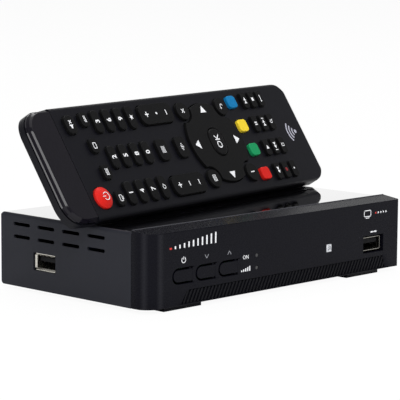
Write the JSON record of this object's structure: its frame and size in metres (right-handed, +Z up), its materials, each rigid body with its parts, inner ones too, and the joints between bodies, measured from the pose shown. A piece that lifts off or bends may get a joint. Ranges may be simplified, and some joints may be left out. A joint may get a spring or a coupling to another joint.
{
  "type": "terrestrial tv decoder",
  "caption": "Low set-top television decoder box with vented steel cover, front push buttons, USB and rear sockets, and a keypad remote control leaning on its lid.",
  "frame": {"origin": "middle of the decoder footprint on the table, under the feet", "axes": "+X to the right seen from the front, +Y to the rear, +Z up"},
  "size_m": [0.203, 0.1046, 0.0841],
  "materials": {
    "base_tray": "zinc-plated sheet",
    "top_cover": "charcoal powder coat, glossy lid",
    "front_panel": "satin ABS",
    "rib_strip": "satin ABS",
    "power_button": "satin ABS",
    "down_button": "satin ABS",
    "up_button": "satin ABS",
    "ir_lens": "pale polycarbonate",
    "status_leds": "clear epoxy",
    "front_board": "solder mask",
    "tact_switches": "moulded",
    "ir_receiver": "epoxy",
    "main_board": "solder mask",
    "main_chip": "moulded package",
    "heat_sink": "black anodised",
    "tuner_can": "tin plate",
    "aerial_in_socket": "nickel plate",
    "aerial_out_socket": "nickel plate",
    "phono_sleeves": "nickel plate",
    "phono_block": "moulded",
    "video_socket": "nickel plate",
    "lan_socket": "nickel plate",
    "dc_jack": "moulded",
    "usb_shells": "nickel plate",
    "usb_tongues": "moulded",
    "capacitors": "sleeved can",
    "ribbon_cable": "flat cable",
    "rear_feet": "rubber",
    "case_screws": "zinc plate",
    "remote_upper_case": "fine-textured ABS",
    "remote_lower_case": "fine-textured ABS",
    "remote_battery_cover": "fine-textured ABS",
    "remote_ir_window": "infrared-pass acrylic",
    "remote_ir_led": "tinted epoxy",
    "remote_board": "solder mask",
    "remote_keypad": "silicone",
    "remote_cells": "printed sleeve",
    "remote_contacts": "nickel plate",
    "remote_power_key": "silicone",
    "remote_mute_key": "silicone",
    "remote_key_0": "silicone",
    "remote_key_1": "silicone",
    "remote_key_2": "silicone",
    "remote_key_3": "silicone",
    "remote_key_4": "silicone",
    "remote_key_5": "silicone",
    "remote_key_6": "silicone",
    "remote_key_7": "silicone",
    "remote_key_8": "silicone",
    "remote_key_9": "silicone",
    "remote_volume_key": "silicone",
    "remote_channel_key": "silicone",
    "remote_navigation_ring": "silicone",
    "remote_ok_key": "silicone",
    "remote_red_key": "silicone",
    "remote_green_key": "silicone",
    "remote_yellow_key": "silicone",
    "remote_blue_key": "silicone"
  },
  "bodies": {
    "decoder": {"base_tray": "base_tray", "top_cover": "top_cover", "front_panel": "front_panel", "rib_strip": "rib_strip", "ir_lens": "ir_lens", "status_leds": "status_leds", "front_board": "front_board", "tact_switches": "tact_switches", "ir_receiver": "ir_receiver", "main_board": "main_board", "main_chip": "main_chip", "heat_sink": "heat_sink", "tuner_can": "tuner_can", "aerial_in_socket": "aerial_in_socket", "aerial_out_socket": "aerial_out_socket", "phono_sleeves": "phono_sleeves", "phono_block": "phono_block", "video_socket": "video_socket", "lan_socket": "lan_socket", "dc_jack": "dc_jack", "usb_shells": "usb_shells", "usb_tongues": "usb_tongues", "capacitors": "capacitors", "ribbon_cable": "ribbon_cable", "rear_feet": "rear_feet", "case_screws": "case_screws"},
    "power_button": {"power_button": "power_button"},
    "down_button": {"down_button": "down_button"},
    "up_button": {"up_button": "up_button"},
    "remote": {"remote_upper_case": "remote_upper_case", "remote_lower_case": "remote_lower_case", "remote_ir_window": "remote_ir_window", "remote_ir_led": "remote_ir_led", "remote_board": "remote_board", "remote_keypad": "remote_keypad", "remote_cells": "remote_cells", "remote_contacts": "remote_contacts"},
    "battery_cover": {"remote_battery_cover": "remote_battery_cover"},
    "power_key": {"remote_power_key": "remote_power_key"},
    "mute_key": {"remote_mute_key": "remote_mute_key"},
    "ok_key": {"remote_ok_key": "remote_ok_key"},
    "red_key": {"remote_red_key": "remote_red_key"},
    "green_key": {"remote_green_key": "remote_green_key"},
    "yellow_key": {"remote_yellow_key": "remote_yellow_key"},
    "blue_key": {"remote_blue_key": "remote_blue_key"},
    "digit_0": {"remote_key_0": "remote_key_0"},
    "digit_1": {"remote_key_1": "remote_key_1"},
    "digit_2": {"remote_key_2": "remote_key_2"},
    "digit_3": {"remote_key_3": "remote_key_3"},
    "digit_4": {"remote_key_4": "remote_key_4"},
    "digit_5": {"remote_key_5": "remote_key_5"},
    "digit_6": {"remote_key_6": "remote_key_6"},
    "digit_7": {"remote_key_7": "remote_key_7"},
    "digit_8": {"remote_key_8": "remote_key_8"},
    "digit_9": {"remote_key_9": "remote_key_9"},
    "volume_rocker": {"remote_volume_key": "remote_volume_key"},
    "channel_rocker": {"remote_channel_key": "remote_channel_key"},
    "navigation_ring": {"remote_navigation_ring": "remote_navigation_ring"}
  },
  "joints": [
    {"name": "power_button_press", "type": "hinge", "parent": "decoder", "child": "power_button", "pos_m": [-0.0575, -0.04625, 0.0149], "axis": [0, 0, -1], "range_deg": [0, 4], "stiffness_Nm_per_rad": 0.25},
    {"name": "down_button_press", "type": "hinge", "parent": "decoder", "child": "down_button", "pos_m": [-0.0433, -0.04625, 0.0149], "axis": [0, 0, -1], "range_deg": [0, 4], "stiffness_Nm_per_rad": 0.25},
    {"name": "up_button_press", "type": "hinge", "parent": "decoder", "child": "up_button", "pos_m": [-0.0291, -0.04625, 0.0149], "axis": [0, 0, -1], "range_deg": [0, 4], "stiffness_Nm_per_rad": 0.25},
    {"name": "remote_lift", "type": "slide", "parent": "decoder", "child": "remote", "axis": [0, 0, 1], "range_m": [0, 0.12]},
    {"name": "battery_cover_slide", "type": "slide", "parent": "remote", "child": "battery_cover", "axis": [0.988, 0.1547, 0], "range_m": [0, 0.1]},
    {"name": "power_key_press", "type": "slide", "parent": "remote", "child": "power_key", "axis": [-0.1315, 0.8397, -0.527], "range_m": [0, 0.0009], "stiffness_N_per_m": 800},
    {"name": "mute_key_press", "type": "slide", "parent": "remote", "child": "mute_key", "axis": [-0.1315, 0.8397, -0.527], "range_m": [0, 0.0009], "stiffness_N_per_m": 800},
    {"name": "ok_key_press", "type": "slide", "parent": "remote", "child": "ok_key", "axis": [-0.1315, 0.8397, -0.527], "range_m": [0, 0.0009], "stiffness_N_per_m": 800},
    {"name": "red_key_press", "type": "slide", "parent": "remote", "child": "red_key", "axis": [-0.1315, 0.8397, -0.527], "range_m": [0, 0.0009], "stiffness_N_per_m": 800},
    {"name": "green_key_press", "type": "slide", "parent": "remote", "child": "green_key", "axis": [-0.1315, 0.8397, -0.527], "range_m": [0, 0.0009], "stiffness_N_per_m": 800},
    {"name": "yellow_key_press", "type": "slide", "parent": "remote", "child": "yellow_key", "axis": [-0.1315, 0.8397, -0.527], "range_m": [0, 0.0009], "stiffness_N_per_m": 800},
    {"name": "blue_key_press", "type": "slide", "parent": "remote", "child": "blue_key", "axis": [-0.1315, 0.8397, -0.527], "range_m": [0, 0.0009], "stiffness_N_per_m": 800},
    {"name": "digit_0_press", "type": "slide", "parent": "remote", "child": "digit_0", "axis": [-0.1315, 0.8397, -0.527], "range_m": [0, 0.0009], "stiffness_N_per_m": 800},
    {"name": "digit_1_press", "type": "slide", "parent": "remote", "child": "digit_1", "axis": [-0.1315, 0.8397, -0.527], "range_m": [0, 0.0009], "stiffness_N_per_m": 800},
    {"name": "digit_2_press", "type": "slide", "parent": "remote", "child": "digit_2", "axis": [-0.1315, 0.8397, -0.527], "range_m": [0, 0.0009], "stiffness_N_per_m": 800},
    {"name": "digit_3_press", "type": "slide", "parent": "remote", "child": "digit_3", "axis": [-0.1315, 0.8397, -0.527], "range_m": [0, 0.0009], "stiffness_N_per_m": 800},
    {"name": "digit_4_press", "type": "slide", "parent": "remote", "child": "digit_4", "axis": [-0.1315, 0.8397, -0.527], "range_m": [0, 0.0009], "stiffness_N_per_m": 800},
    {"name": "digit_5_press", "type": "slide", "parent": "remote", "child": "digit_5", "axis": [-0.1315, 0.8397, -0.527], "range_m": [0, 0.0009], "stiffness_N_per_m": 800},
    {"name": "digit_6_press", "type": "slide", "parent": "remote", "child": "digit_6", "axis": [-0.1315, 0.8397, -0.527], "range_m": [0, 0.0009], "stiffness_N_per_m": 800},
    {"name": "digit_7_press", "type": "slide", "parent": "remote", "child": "digit_7", "axis": [-0.1315, 0.8397, -0.527], "range_m": [0, 0.0009], "stiffness_N_per_m": 800},
    {"name": "digit_8_press", "type": "slide", "parent": "remote", "child": "digit_8", "axis": [-0.1315, 0.8397, -0.527], "range_m": [0, 0.0009], "stiffness_N_per_m": 800},
    {"name": "digit_9_press", "type": "slide", "parent": "remote", "child": "digit_9", "axis": [-0.1315, 0.8397, -0.527], "range_m": [0, 0.0009], "stiffness_N_per_m": 800},
    {"name": "volume_rocker_tilt", "type": "hinge", "parent": "remote", "child": "volume_rocker", "pos_m": [-0.01662, -0.0012, 0.04429], "axis": [-0.0815, 0.5206, 0.8499], "range_deg": [-3.5, 3.5], "stiffness_Nm_per_rad": 0.15},
    {"name": "channel_rocker_tilt", "type": "hinge", "parent": "remote", "child": "channel_rocker", "pos_m": [-0.01959, 0.01775, 0.07523], "axis": [-0.0815, 0.5206, 0.8499], "range_deg": [-3.5, 3.5], "stiffness_Nm_per_rad": 0.15},
    {"name": "navigation_ring_tilt", "type": "hinge", "parent": "remote", "child": "navigation_ring", "pos_m": [0.01776, 0.01389, 0.05976], "axis": [-0.0815, 0.5206, 0.8499], "range_deg": [-2.2, 2.2], "stiffness_Nm_per_rad": 0.2}
  ]
}
